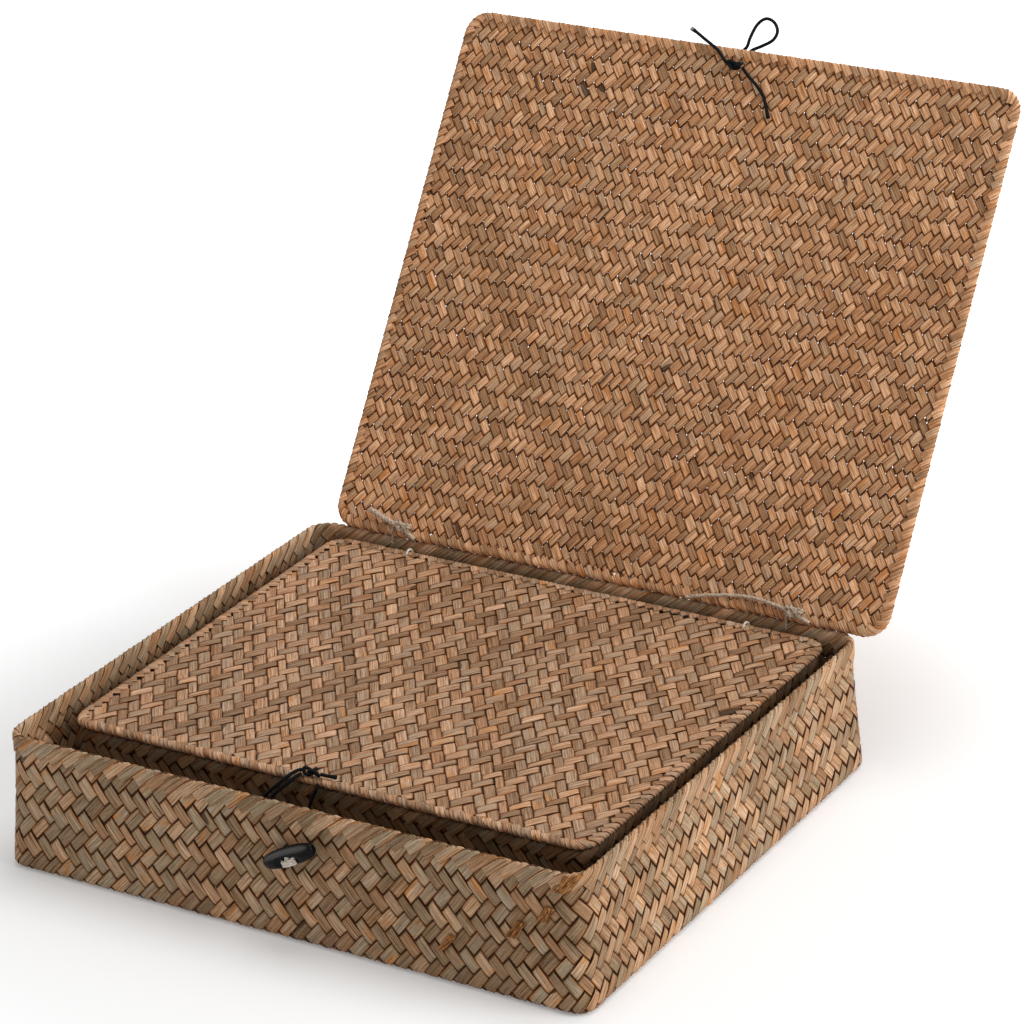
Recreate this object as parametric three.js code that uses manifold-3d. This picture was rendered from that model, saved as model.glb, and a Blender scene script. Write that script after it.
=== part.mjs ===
// A nest of two plaited seagrass boxes with flat hinged lids, in millimetres, +Z up.
// The outer lid stands open and leans back. The smaller box sits inside with its lid shut.
// The origin is the middle of the outer box's underside, and the toggles face -Y.
import * as THREE from "three";
import { mergeVertices } from "three/addons/utils/BufferGeometryUtils.js";
import Module from "manifold-3d";

const wasm = await Module();
wasm.setup();

// Outer box: size over its rim, then the shape of its walls and lid
const OUTER_WIDTH = 330;
const OUTER_DEPTH = 290;
const OUTER_HEIGHT = 73;
const OUTER_RIM_CORNER = 14;
const OUTER_BASE_CORNER = 6;
const OUTER_BASE_FLARE = 2;
const OUTER_LID_CORNER = 13;
const OUTER_LID_SHIFT = 12; // the slack ties let the open lid sit this far to the right
const OUTER_LID_OPEN_DEG = 124;

// Inner box: its sizes follow from the room that it leaves round itself
const NEST_SIDE_GAP = 10.8;
const NEST_FRONT_GAP = 29.8;
const NEST_BACK_GAP = 2.3;
const NEST_DROP = 4; // lid top below the outer rim
const INNER_RIM_CORNER = 13;
const INNER_BASE_CORNER = 7;
const INNER_BASE_FLARE = 1;
const INNER_LID_CORNER = 12;

// Plaited sheet, and the strands folded over a wire along each edge
const SEAT_GAP = 0.3;
const WALL = 2.8;
const RIM_STRAND = 0.9;
const RIM_SKIRT = 10;
const RIM_WIRE_RADIUS = 1.1;
const BASE_EDGE_RADIUS = 3.4;
const LID_SHEET = 2.2;
const LID_STRAND = 0.7;
const LID_HEM = 9;
const LID_WIRE_RADIUS = 0.9;
const LID_OVERHANG = 0.5;

// Hinge ties of jute twine
const TWINE_RADIUS = 0.7;
const TIE_LEFT_INSET = 50;
const TIE_RIGHT_INSET = 43;
const INNER_TIE_INSET = 47;

// Toggles, each strung on a jute shank
const TOGGLE_LENGTH = 32;
const TOGGLE_HEIGHT = 10.4;
const TOGGLE_DEPTH = 8.4;
const SHANK_RADIUS = 1.6;
const SHANK_HEAD_RADIUS = 2.7;
const SHANK_HEAD_DEPTH = 1.3;
const SHANK_STOP_RADIUS = 3.4;
const SHANK_STOP_DEPTH = 2;
const LOOP_ROOM = 2.6; // between wall and toggle
const OUTER_TOGGLE_X = 8;
const OUTER_TOGGLE_DROP = 23; // below the rim
const OUTER_TOGGLE_TILT_DEG = 27;
const INNER_TOGGLE_X = 6;
const INNER_TOGGLE_DROP = 24;
const INNER_TOGGLE_TILT_DEG = -8;

// Elastic cords. A route point is across the lid, past its free edge, and above its middle plane.
const CORD_RADIUS = 0.9;
const KNOT_LENGTH = 9;
const KNOT_WIDTH = 5;
const KNOT_HEIGHT = 4;
const OUTER_KNOT = [1.5, -9.8, -4.3];
const OUTER_LOOP = [
  [0, -10.4, -1.9], [-0.4, -9.6, 0.4], [-1.2, -7.5, 2.5], [-1.8, -4.5, 3.4], [-1.4, -1.4, 3.8],
  [0.6, 0.6, 3.8], [2.4, 3.2, 3.4], [2.9, 7.5, 3], [5.1, 14.9, 2.6], [9.3, 18.9, 2.4],
  [14.4, 17.8, 2.6], [17.7, 13.3, 2.8], [16.4, 8.2, 3], [10.9, 4.2, 3.2], [5.8, 1.4, 3.6],
  [3.4, -1.4, 3.8], [2.6, -4.5, 3.5], [2.9, -7.5, 2.5], [3.1, -9.6, 0.4], [3, -10.4, -1.9],
];
const OUTER_TAIL_LEFT = [
  [-3.4, -9.2, -4.3], [-6.4, -6.6, -4.4], [-10, -3.3, -4.4], [-14.5, -0.8, -4.6], [-19, 1.5, -4.8],
  [-23.5, 3.9, -5], [-28, 6.1, -5.2],
];
const OUTER_TAIL_RIGHT = [
  [6.4, -10.4, -4.1], [9.2, -13.2, -3.2], [13, -16.2, -2.6], [16.9, -19, -2.4],
  [21.8, -23.8, -2.4], [25.1, -29.3, -2.4], [27.9, -35, -2.4],
];
const INNER_KNOT = [-6.4, -2.9, 4.4];
const INNER_LOOP = [
  [-11.4, -3.4, 4.3], [-13.4, -1.2, 4.2], [-15.4, 1.6, 3.2], [-17.8, 4.2, 1.2], [-20.6, 6.2, -1.6],
  [-24, 7.6, -5], [-27.4, 8.6, -9], [-30, 9.6, -13.6], [-31.8, 10.6, -18.6], [-31, 11.4, -23.4],
  [-28.2, 11.8, -25.6], [-25.8, 11.6, -23.4], [-25.6, 11, -18.4], [-26, 10.2, -14.6], [-25.2, 9.4, -11.2],
  [-22.4, 8.4, -7.4], [-19.4, 6.9, -4], [-16.4, 5, -1.4], [-14.2, 2.9, 1], [-12.6, 0.9, 2.4], [-11, -1, 3.3],
];
const INNER_TAIL_FRONT = [
  [-0.4, 1.2, 0.8], [-0.6, 2.3, -0.8], [-1.4, 2.6, -3], [-3.2, 2.7, -6.7], [-4.4, 2.8, -10], [-5.2, 3, -13.5],
];
const INNER_TAIL_RIGHT = [
  [-1.5, -3, 4.1], [0.6, -3.6, 3.6], [3, -4.2, 3.4], [6.4, -4.8, 3.4],
];

// Facets
const CORNER_STEPS = 5;
const BEND_STEPS = 6;
const EDGE_STEPS = 3;
const ROUND_SIDES = 8;
const RING_STEPS = 24;
const KNOT_SIDES = 12;
const CORD_STEP = 2; // in cord diameters

// Section sizes that several pieces share
const RIM_HALF = WALL / 2 + SEAT_GAP + RIM_STRAND;
const RIM_SLOT_HALF = WALL / 2 + SEAT_GAP;
const RIM_WIRE_DEPTH = RIM_HALF;
const WALL_TOP_DEPTH = RIM_WIRE_DEPTH + RIM_WIRE_RADIUS + SEAT_GAP;
const LID_HALF = LID_SHEET / 2 + SEAT_GAP + LID_STRAND;
const LID_SLOT_HALF = LID_SHEET / 2 + SEAT_GAP;
const LID_SHEET_INSET = LID_HALF + LID_WIRE_RADIUS + SEAT_GAP;

// The hinge axis runs along the lid's back edge. A tie circles it, and turns under the rim wire.
const HINGE_RISE = SEAT_GAP + LID_HALF;
const HINGE_BACK = RIM_HALF + LID_OVERHANG - LID_HALF;
const WIRE_TURN = RIM_WIRE_RADIUS + SEAT_GAP + TWINE_RADIUS;
const TIE_RADIUS = HINGE_BACK + WIRE_TURN;

const OUTER = {
  name: "outer",
  width: OUTER_WIDTH,
  depth: OUTER_DEPTH,
  height: OUTER_HEIGHT,
  rimCorner: OUTER_RIM_CORNER,
  baseCorner: OUTER_BASE_CORNER,
  baseFlare: OUTER_BASE_FLARE,
  lidCorner: OUTER_LID_CORNER,
  lidShift: OUTER_LID_SHIFT,
  lidOpen: THREE.MathUtils.degToRad(OUTER_LID_OPEN_DEG),
  ties: { left: TIE_LEFT_INSET - OUTER_WIDTH / 2, right: OUTER_WIDTH / 2 - TIE_RIGHT_INSET },
  toggle: { x: OUTER_TOGGLE_X, drop: OUTER_TOGGLE_DROP, tilt: OUTER_TOGGLE_TILT_DEG },
  knot: OUTER_KNOT,
  loop: OUTER_LOOP,
  tails: { left: OUTER_TAIL_LEFT, right: OUTER_TAIL_RIGHT },
  colours: { plait: 0x8c7350, rim: 0x86694a, lid: 0x9a7148, hem: 0x94683f },
};

// The inner box fills the outer one up to the named gaps.
const INNER_LID_WIDTH = OUTER_WIDTH - 2 * (2 * RIM_HALF + NEST_SIDE_GAP);
const INNER_LID_BACK = OUTER_DEPTH / 2 - 2 * RIM_HALF - NEST_BACK_GAP;
const INNER_LID_FRONT = 2 * RIM_HALF + NEST_FRONT_GAP - OUTER_DEPTH / 2;
const INNER_FLOOR = WALL + SEAT_GAP;
const INNER_WIDTH = INNER_LID_WIDTH - 2 * LID_OVERHANG;
const INNER = {
  name: "inner",
  width: INNER_WIDTH,
  depth: INNER_LID_BACK - INNER_LID_FRONT - 2 * LID_OVERHANG,
  height: OUTER_HEIGHT - NEST_DROP - 2 * LID_HALF - SEAT_GAP - INNER_FLOOR,
  rimCorner: INNER_RIM_CORNER,
  baseCorner: INNER_BASE_CORNER,
  baseFlare: INNER_BASE_FLARE,
  lidCorner: INNER_LID_CORNER,
  lidShift: 0,
  lidOpen: 0,
  ties: { left: INNER_TIE_INSET - INNER_WIDTH / 2, right: INNER_WIDTH / 2 - INNER_TIE_INSET },
  toggle: { x: INNER_TOGGLE_X, drop: INNER_TOGGLE_DROP, tilt: INNER_TOGGLE_TILT_DEG },
  knot: INNER_KNOT,
  loop: INNER_LOOP,
  tails: { front: INNER_TAIL_FRONT, right: INNER_TAIL_RIGHT },
  colours: { plait: 0x7d684b, rim: 0x7a6146, lid: 0x86694a, hem: 0x80623f },
};

const X_AXIS = new THREE.Vector3(1, 0, 0);
const JUTE = 0xb79f80;
const BLACK_CORD = 0x17171a;
const TOGGLE_BLACK = 0x1b1a1c;
const WIRE_GREY = 0x6c6a66;

// Solids for cutting and joining
function solidOf(geometry) {
  const bare = geometry.clone();
  bare.deleteAttribute("normal");
  bare.deleteAttribute("uv");
  const merged = mergeVertices(bare, 1e-4);
  const vertProperties = Float32Array.from(merged.attributes.position.array);
  const triVerts = Uint32Array.from(merged.index.array);
  return new wasm.Manifold(new wasm.Mesh({ numProp: 3, vertProperties, triVerts }));
}

function geometryOf(solid) {
  const mesh = solid.getMesh();
  const geometry = new THREE.BufferGeometry();
  geometry.setAttribute("position", new THREE.BufferAttribute(mesh.vertProperties, 3));
  geometry.setIndex(new THREE.BufferAttribute(mesh.triVerts, 1));
  geometry.computeVertexNormals();
  return geometry;
}

function cut(geometry, cutters) {
  return geometryOf(cutters.reduce((body, cutter) => body.subtract(solidOf(cutter)), solidOf(geometry)));
}

function join(geometries) {
  return geometryOf(geometries.map(solidOf).reduce((body, other) => body.add(other)));
}

// A rectangle with round corners at one height, anticlockwise from above.
function outline(halfX, halfY, radius, z) {
  const points = [];
  for (let corner = 0; corner < 4; corner++) {
    const centreX = (corner === 0 || corner === 3 ? 1 : -1) * (halfX - radius);
    const centreY = (corner < 2 ? 1 : -1) * (halfY - radius);
    for (let step = 0; step <= CORNER_STEPS; step++) {
      const angle = ((corner + step / CORNER_STEPS) * Math.PI) / 2;
      const x = centreX + radius * Math.cos(angle);
      const y = centreY + radius * Math.sin(angle);
      points.push(new THREE.Vector3(x, y, z));
    }
  }
  return points;
}

// A skin over a row of outlines. A row that doesn't close on itself is capped at both ends.
function loft(rings, closes) {
  const count = rings[0].length;
  const faces = [];
  const bands = closes ? rings.length : rings.length - 1;
  for (let band = 0; band < bands; band++) {
    const low = band * count;
    const high = ((band + 1) % rings.length) * count;
    for (let i = 0; i < count; i++) {
      const j = (i + 1) % count;
      faces.push(low + i, low + j, high + j, low + i, high + j, high + i);
    }
  }
  if (!closes) {
    const last = (rings.length - 1) * count;
    for (let i = 1; i < count - 1; i++) {
      faces.push(0, i + 1, i, last, last + i, last + i + 1);
    }
  }
  const geometry = new THREE.BufferGeometry().setFromPoints(rings.flat());
  geometry.setIndex(faces);
  geometry.computeVertexNormals();
  return geometry;
}

// A section of [outward, up] points, anticlockwise, carried round a rounded rectangle.
function sweepRound(section, halfX, halfY, radius) {
  const rings = section.map(([out, up]) => outline(halfX + out, halfY + out, radius + out, up));
  return loft(rings, true);
}

function arc(centreOut, centreUp, radius, fromDeg, toDeg, steps) {
  return Array.from({ length: steps + 1 }, (_, i) => {
    const angle = THREE.MathUtils.degToRad(fromDeg + ((toDeg - fromDeg) * i) / steps);
    return [centreOut + radius * Math.cos(angle), centreUp + radius * Math.sin(angle)];
  });
}

function roundSection(radius, up) {
  return arc(0, up, radius, 0, 360, ROUND_SIDES).slice(0, ROUND_SIDES);
}

function tube(path, radius, steps) {
  const section = new THREE.Shape(roundSection(radius, 0).map(([x, y]) => new THREE.Vector2(x, y)));
  return new THREE.ExtrudeGeometry(section, { steps, extrudePath: path, bevelEnabled: false });
}

// Walls: upright inside the rim's skirt, and easing out to the flared base below it
function wallOutset(box, z) {
  const flare = box.baseFlare + RIM_HALF - WALL / 2;
  const share = Math.max(0, 1 - z / (box.height - RIM_SKIRT));
  return flare * share ** 1.4;
}

function wallRing(box, offset, z, cornerHeight) {
  const out = wallOutset(box, cornerHeight) + offset;
  const share = Math.min(1, cornerHeight / (box.height - RIM_SKIRT));
  const corner = THREE.MathUtils.lerp(box.baseCorner, box.rimCorner - RIM_HALF, share);
  return outline(box.width / 2 - RIM_HALF + out, box.depth / 2 - RIM_HALF + out, corner + offset, z);
}

function basket(box) {
  const half = WALL / 2;
  const skirtLow = box.height - RIM_SKIRT;
  const heights = [0.25, 0.6, 1].map((share) => THREE.MathUtils.lerp(BASE_EDGE_RADIUS, skirtLow, share));
  const top = box.height - WALL_TOP_DEPTH;
  const innerRadius = BASE_EDGE_RADIUS - WALL;
  const bendOut = half - BASE_EDGE_RADIUS;
  const outerBend = arc(bendOut, BASE_EDGE_RADIUS, BASE_EDGE_RADIUS, -90, 0, EDGE_STEPS);
  const innerBend = arc(bendOut, BASE_EDGE_RADIUS, innerRadius, 0, -90, EDGE_STEPS);
  const rings = [
    ...outerBend.map(([out, up]) => wallRing(box, out, up, 0)),
    ...heights.map((z) => wallRing(box, half, z, z)),
    wallRing(box, half, top, top),
    wallRing(box, -half, top, top),
    ...heights.reverse().map((z) => wallRing(box, -half, z, z)),
    ...innerBend.map(([out, up]) => wallRing(box, out, up, 0)),
  ];
  const shankHole = new THREE.CylinderGeometry(
    SHANK_RADIUS + SEAT_GAP, SHANK_RADIUS + SEAT_GAP, box.depth / 2, ROUND_SIDES * 2);
  const { x, drop } = box.toggle;
  shankHole.translate(x, -box.depth / 2, box.height - drop);
  return cut(loft(rings, false), [shankHole, ...tieHoles(box)]);
}

function sweepRim(box, section) {
  const lifted = section.map(([out, up]) => [out, box.height + up]);
  return sweepRound(lifted, box.width / 2 - RIM_HALF, box.depth / 2 - RIM_HALF, box.rimCorner - RIM_HALF);
}

function rimWrap(box) {
  const section = [
    [RIM_HALF, -RIM_SKIRT],
    ...arc(0, -RIM_WIRE_DEPTH, RIM_HALF, 0, 180, BEND_STEPS),
    [-RIM_HALF, -RIM_SKIRT],
    [-RIM_SLOT_HALF, -RIM_SKIRT],
    ...arc(0, -RIM_WIRE_DEPTH, RIM_SLOT_HALF, 180, 0, BEND_STEPS),
    [RIM_SLOT_HALF, -RIM_SKIRT],
  ];
  return cut(sweepRim(box, section), tieHoles(box));
}

function rimWire(box) {
  return sweepRim(box, roundSection(RIM_WIRE_RADIUS, -RIM_WIRE_DEPTH));
}

// Lids, drawn shut with the hinge axis through the origin and the free edge towards -Y
function lidLength(box) {
  return box.depth + 2 * LID_OVERHANG - LID_HALF;
}

function centreLid(box, geometry) {
  return geometry.translate(0, LID_HALF - (box.depth + 2 * LID_OVERHANG) / 2, 0);
}

function lidHalves(box, inset) {
  return [box.width / 2 + LID_OVERHANG - inset, box.depth / 2 + LID_OVERHANG - inset, box.lidCorner - inset];
}

function lidPanel(box) {
  const rings = [-LID_SHEET / 2, LID_SHEET / 2].map((z) => outline(...lidHalves(box, LID_SHEET_INSET), z));
  return cut(centreLid(box, loft(rings, false)), lidHoles(box));
}

function lidBorder(box) {
  const legEnd = LID_HALF - LID_HEM;
  const section = [
    [legEnd, -LID_HALF],
    ...arc(0, 0, LID_HALF, -90, 90, BEND_STEPS),
    [legEnd, LID_HALF],
    [legEnd, LID_SLOT_HALF],
    ...arc(0, 0, LID_SLOT_HALF, 90, -90, BEND_STEPS),
    [legEnd, -LID_SLOT_HALF],
  ];
  return cut(centreLid(box, sweepRound(section, ...lidHalves(box, LID_HALF))), lidHoles(box));
}

function lidWire(box) {
  return centreLid(box, sweepRound(roundSection(LID_WIRE_RADIUS, 0), ...lidHalves(box, LID_HALF)));
}

// Hinge ties
function hingePoint(box) {
  return new THREE.Vector3(0, box.depth / 2 - RIM_HALF + HINGE_BACK, box.height + HINGE_RISE);
}

function tieRing(x, radius) {
  return new THREE.TorusGeometry(TIE_RADIUS, radius, ROUND_SIDES, RING_STEPS)
    .rotateY(Math.PI / 2)
    .translate(x, 0, 0);
}

// The tie's path is drawn across the hinge, with the axis at the origin and +Y to the back.
function tieLoop(x, radius) {
  const turns = [
    ...arc(0, 0, TIE_RADIUS, -45, 217, 14),
    ...arc(-HINGE_BACK, -HINGE_RISE - RIM_WIRE_DEPTH, WIRE_TURN, 180, 345, 7),
  ];
  const path = new THREE.CatmullRomCurve3(turns.map(([y, z]) => new THREE.Vector3(x, y, z)), true);
  const rings = [];
  for (let step = 0; step < RING_STEPS; step++) {
    const centre = path.getPointAt(step / RING_STEPS);
    const across = path.getTangentAt(step / RING_STEPS).cross(X_AXIS);
    const ring = roundSection(radius, 0).map(([sideways, out]) =>
      centre.clone().addScaledVector(X_AXIS, sideways).addScaledVector(across, out));
    rings.push(ring);
  }
  return loft(rings, true);
}

function tieHoles(box) {
  const { y, z } = hingePoint(box);
  const radius = TWINE_RADIUS + SEAT_GAP;
  return Object.values(box.ties).map((x) => tieLoop(x, radius).translate(0, y, z));
}

function hingeTie(box, x) {
  const { y, z } = hingePoint(box);
  return tieLoop(x, TWINE_RADIUS).translate(0, y, z);
}

// Elastic cords, in the lid's frame
function lidPoint(box, [across, past, above]) {
  return new THREE.Vector3(across, -lidLength(box) - past, above);
}

function cordTube(box, route, radius) {
  const path = new THREE.CatmullRomCurve3(route.map((point) => lidPoint(box, point)));
  return tube(path, radius, Math.ceil(path.getLength() / (CORD_STEP * 2 * CORD_RADIUS)));
}

function loopKnot(box) {
  const centre = lidPoint(box, box.knot);
  return new THREE.SphereGeometry(1, KNOT_SIDES, KNOT_SIDES / 2)
    .scale(KNOT_LENGTH / 2, KNOT_WIDTH / 2, KNOT_HEIGHT / 2)
    .translate(centre.x, centre.y, centre.z);
}

function lidHoles(box) {
  const rings = Object.values(box.ties).map((x) => tieRing(x - box.lidShift, TWINE_RADIUS + SEAT_GAP));
  return [...rings, cordTube(box, box.loop, CORD_RADIUS + SEAT_GAP)];
}

// Toggle: an olive shape along X, turned about its shank, which runs along Y
function togglePoint(box) {
  const { x, drop } = box.toggle;
  const z = box.height - drop;
  const face = box.depth / 2 - RIM_HALF + wallOutset(box, z) + WALL / 2;
  return new THREE.Vector3(x, -face - LOOP_ROOM - TOGGLE_DEPTH / 2, z);
}

function toggle(box) {
  const profile = Array.from({ length: 13 }, (_, i) => {
    const angle = Math.PI * (i / 12 - 0.5);
    const radius = (TOGGLE_HEIGHT / 2) * Math.max(0, Math.cos(angle)) ** 0.75;
    return new THREE.Vector2(i % 12 === 0 ? 0 : radius, (TOGGLE_LENGTH / 2) * Math.sin(angle));
  });
  const olive = new THREE.LatheGeometry(profile, ROUND_SIDES * 2)
    .rotateZ(-Math.PI / 2)
    .scale(1, TOGGLE_DEPTH / TOGGLE_HEIGHT, 1);
  const hole = new THREE.CylinderGeometry(
    SHANK_RADIUS + SEAT_GAP, SHANK_RADIUS + SEAT_GAP, 2 * TOGGLE_DEPTH, ROUND_SIDES * 2);
  return cut(olive, [hole]).rotateY(-THREE.MathUtils.degToRad(box.toggle.tilt));
}

// Shank: a stop knot inside the wall, a round shank, and a crossed head on the toggle's face
function toggleThread() {
  const face = TOGGLE_DEPTH / 2 + SEAT_GAP;
  const back = TOGGLE_DEPTH / 2 + LOOP_ROOM + WALL + 2 * SEAT_GAP;
  const profile = [
    [0, -face - SHANK_HEAD_DEPTH],
    [SHANK_HEAD_RADIUS * 0.7, -face - SHANK_HEAD_DEPTH],
    [SHANK_HEAD_RADIUS, -face],
    [SHANK_RADIUS, -face],
    [SHANK_RADIUS, back],
    [SHANK_STOP_RADIUS, back],
    [SHANK_STOP_RADIUS * 0.7, back + SHANK_STOP_DEPTH],
    [0, back + SHANK_STOP_DEPTH],
  ];
  return new THREE.LatheGeometry(profile.map(([r, y]) => new THREE.Vector2(r, y)), ROUND_SIDES * 2);
}

function piece(name, geometry, color, roughness, metalness = 0) {
  const mesh = new THREE.Mesh(geometry, new THREE.MeshStandardMaterial({ color, roughness, metalness }));
  mesh.name = name;
  return mesh;
}

function lidGroup(box) {
  const lid = new THREE.Group();
  const { name, colours } = box;
  lid.add(piece(`${name}_lid_panel`, lidPanel(box), colours.lid, 0.75));
  lid.add(piece(`${name}_lid_border`, lidBorder(box), colours.hem, 0.75));
  lid.add(piece(`${name}_lid_wire`, lidWire(box), WIRE_GREY, 0.5, 0.8));
  lid.add(piece(`${name}_loop_knot`, loopKnot(box), BLACK_CORD, 0.7));
  lid.add(piece(`${name}_loop_cord`, cordTube(box, box.loop, CORD_RADIUS), BLACK_CORD, 0.7));
  for (const [side, route] of Object.entries(box.tails)) {
    lid.add(piece(`${name}_loop_tail_${side}`, cordTube(box, route, CORD_RADIUS), BLACK_CORD, 0.7));
  }
  lid.position.copy(hingePoint(box));
  lid.position.x = box.lidShift;
  lid.rotation.x = -box.lidOpen;
  return lid;
}

function boxGroup(box) {
  const group = new THREE.Group();
  const { name, colours } = box;
  group.add(piece(`${name}_basket`, basket(box), colours.plait, 0.8));
  group.add(piece(`${name}_rim_wrap`, rimWrap(box), colours.rim, 0.8));
  group.add(piece(`${name}_rim_wire`, rimWire(box), WIRE_GREY, 0.5, 0.8));
  for (const [side, x] of Object.entries(box.ties)) {
    group.add(piece(`${name}_hinge_tie_${side}`, hingeTie(box, x), JUTE, 0.95));
  }
  const fastening = new THREE.Group();
  fastening.add(piece(`${name}_toggle`, toggle(box), TOGGLE_BLACK, 0.3));
  fastening.add(piece(`${name}_toggle_thread`, toggleThread(), JUTE, 0.95));
  fastening.position.copy(togglePoint(box));
  group.add(fastening, lidGroup(box));
  return group;
}

const nest = new THREE.Group();
const innerBox = boxGroup(INNER);
innerBox.position.set(0, (INNER_LID_BACK + INNER_LID_FRONT) / 2, INNER_FLOOR);
nest.add(boxGroup(OUTER), innerBox);

export default nest;
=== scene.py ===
"""A nest of two plaited seagrass boxes: the outer one stands open, with the smaller one shut inside it."""
import math
import random

import bmesh
import bpy
from mathutils import Matrix, Vector, noise


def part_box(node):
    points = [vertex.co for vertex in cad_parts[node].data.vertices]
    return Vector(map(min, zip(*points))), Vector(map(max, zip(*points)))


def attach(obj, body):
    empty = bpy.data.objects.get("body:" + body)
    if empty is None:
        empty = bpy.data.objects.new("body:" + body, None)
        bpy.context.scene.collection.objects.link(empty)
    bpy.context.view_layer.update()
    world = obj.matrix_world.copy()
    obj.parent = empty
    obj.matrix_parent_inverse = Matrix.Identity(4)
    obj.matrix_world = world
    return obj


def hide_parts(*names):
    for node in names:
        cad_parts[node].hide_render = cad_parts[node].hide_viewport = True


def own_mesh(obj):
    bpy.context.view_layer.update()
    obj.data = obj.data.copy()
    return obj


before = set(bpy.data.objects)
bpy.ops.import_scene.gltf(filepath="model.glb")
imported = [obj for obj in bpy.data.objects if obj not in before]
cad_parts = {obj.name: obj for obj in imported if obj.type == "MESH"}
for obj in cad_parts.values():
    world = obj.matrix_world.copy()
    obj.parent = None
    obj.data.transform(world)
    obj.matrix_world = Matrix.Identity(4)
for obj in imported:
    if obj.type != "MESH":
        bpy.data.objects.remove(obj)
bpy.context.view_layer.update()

# Sizes are in millimetres until a point is placed
MM = 0.001
WALL = 2.8
SEAT_GAP = 0.3
RIM_HALF = 2.6
RIM_SKIRT = 10.0
BASE_EDGE = 3.4
LID_HALF = 2.1
LID_OVERHANG = 0.5
LID_TRIM = 3.2
FLOOR_TRIM = 4
FLOOR_CORNER = 5.0
FLARE_POWER = 1.4
WALL_TUCK = 7.0
RIM_FOLD = 1.5
RIM_SETBACK = 0.4
EDGE_FOLD = 1.5
EDGE_SETBACK = 0.1
EDGE_THINNING = 0.35
EDGE_THIN_AFTER = 5
HINGE_FLAP = 0.8
RIM_WIRE_RADIUS = 1.1
CORD_RADIUS = 0.9
TWINE_RADIUS = 0.7


def measured(name, rim_corner, base_corner, lid_corner, lid_turn=0.0, lid_shift=0.0):
    """A box's sizes, from its CAD rim and basket, and its lid's, which follow from them."""
    rim_low, rim_high = (Vector(corner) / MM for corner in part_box(name + "_rim_wrap"))
    base_low, base_high = (Vector(corner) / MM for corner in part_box(name + "_basket"))
    middle, half = (rim_low + rim_high) / 2, (rim_high - rim_low) / 2
    box = {
        "middle": middle.y, "base": base_low.z, "height": rim_high.z - base_low.z,
        "half_x": half.x, "half_y": half.y, "rim_corner": rim_corner, "base_corner": base_corner,
        "flare": base_high.x - rim_high.x,
    }
    lid = {
        "hinge": (rim_high.y + LID_OVERHANG - LID_HALF, rim_high.z + SEAT_GAP + LID_HALF),
        "turn": math.radians(lid_turn), "shift": lid_shift, "corner": lid_corner,
        "flap": HINGE_FLAP if lid_turn else 0.0,
        "half_x": half.x + LID_OVERHANG, "length": 2 * (half.y + LID_OVERHANG) - LID_HALF,
    }
    return box, lid


NEST = {
    "outer": measured("outer", 14.0, 6.0, 13.0, -124.0, 12.0),
    "inner": measured("inner", 13.0, 7.0, 12.0),
}


def woven(pitch, slant, rise, thick, close, uneven):
    """A plait's strand spacing, slant from the row, half height, thickness, closeness and unevenness."""
    return {
        "pitch": pitch, "slant": math.radians(slant), "rise": rise, "thick": thick, "close": close,
        "uneven": uneven,
    }


WEAVES = {
    "outer_wall": woven(6.1, 50, 0.8, 0.7, 0.97, 0.13),
    "outer_lid": woven(4.4, 53, 0.5, 0.5, 0.95, 0.22),
    "inner_wall": woven(5.7, 50, 0.75, 0.7, 0.95, 0.13),
    "inner_lid": woven(5.7, 56, 0.6, 0.6, 0.97, 0.15),
}
# Lids whose ribs run from front to back
RIBS_FRONT_TO_BACK = ("inner",)

# A float's squareness, the places of its points, and how far it narrows at its ends
FLOAT_FLATNESS = 3.0
FLOAT_STEPS = (0.0, 0.5, 0.78, 1.0, 1.22, 1.5, 2.0, 2.5, 2.78, 3.0, 3.22, 3.5)
PINCH = 0.09

# How far the whole plait wanders, and one strand in width, place and roll, each with its pace
SWAY, SWAY_SCALE, SWAY_SEED = 1.6, 14.0, 1
WIDTH_WAVER, PLACE_WAVER, ROLL_WAVER = (0.05, 0.4), (0.04, 0.5), (0.42, 0.6)

# Strands folded over an edge: their spacing, lean, width, tilt and thickness, and how far they reach
RIM_WRAP = {"spacing": 8.6, "lean": 1.2, "width": 6.2, "tilt": 0.12, "thick": 0.66}
EDGE_WRAP = {"spacing": 5.3, "lean": 0.75, "width": 5.0, "tilt": 0.14, "thick": 0.6}
RIM_REACH = {"outer": 9.0, "inner": 6.5}
EDGE_REACH = 5.6
WRAP_STEPS, WRAP_STAGGER = 14, 0.07

# Cord routes, as in the CAD: across the lid, past its free edge, and above its middle plane
OUTER_KNOT = (1.5, -9.8, -4.3)
OUTER_LOOP = (
    (0, -10.4, -1.9), (-0.4, -9.6, 0.4), (-1.2, -7.5, 2.5), (-1.8, -4.5, 3.4), (-1.4, -1.4, 3.8),
    (0.6, 0.6, 3.8), (2.4, 3.2, 3.4), (2.9, 7.5, 3), (5.1, 14.9, 2.6), (9.3, 18.9, 2.4),
    (14.4, 17.8, 2.6), (17.7, 13.3, 2.8), (16.4, 8.2, 3), (10.9, 4.2, 3.2), (5.8, 1.4, 3.6),
    (3.4, -1.4, 3.8), (2.6, -4.5, 3.5), (2.9, -7.5, 2.5), (3.1, -9.6, 0.4), (3, -10.4, -1.9),
)
OUTER_TAIL_LEFT = (
    (-3.4, -9.2, -4.3), (-6.4, -6.6, -4.4), (-10, -3.3, -4.4), (-14.5, -0.8, -4.6), (-19, 1.5, -4.8),
    (-23.5, 3.9, -5), (-28, 6.1, -5.2),
)
OUTER_TAIL_RIGHT = (
    (6.4, -10.4, -4.1), (9.2, -13.2, -3.2), (13, -16.2, -2.6), (16.9, -19, -2.4),
    (21.8, -23.8, -2.4), (25.1, -29.3, -2.4), (27.9, -35, -2.4),
)
INNER_KNOT = (-6.4, -2.9, 4.4)
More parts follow.
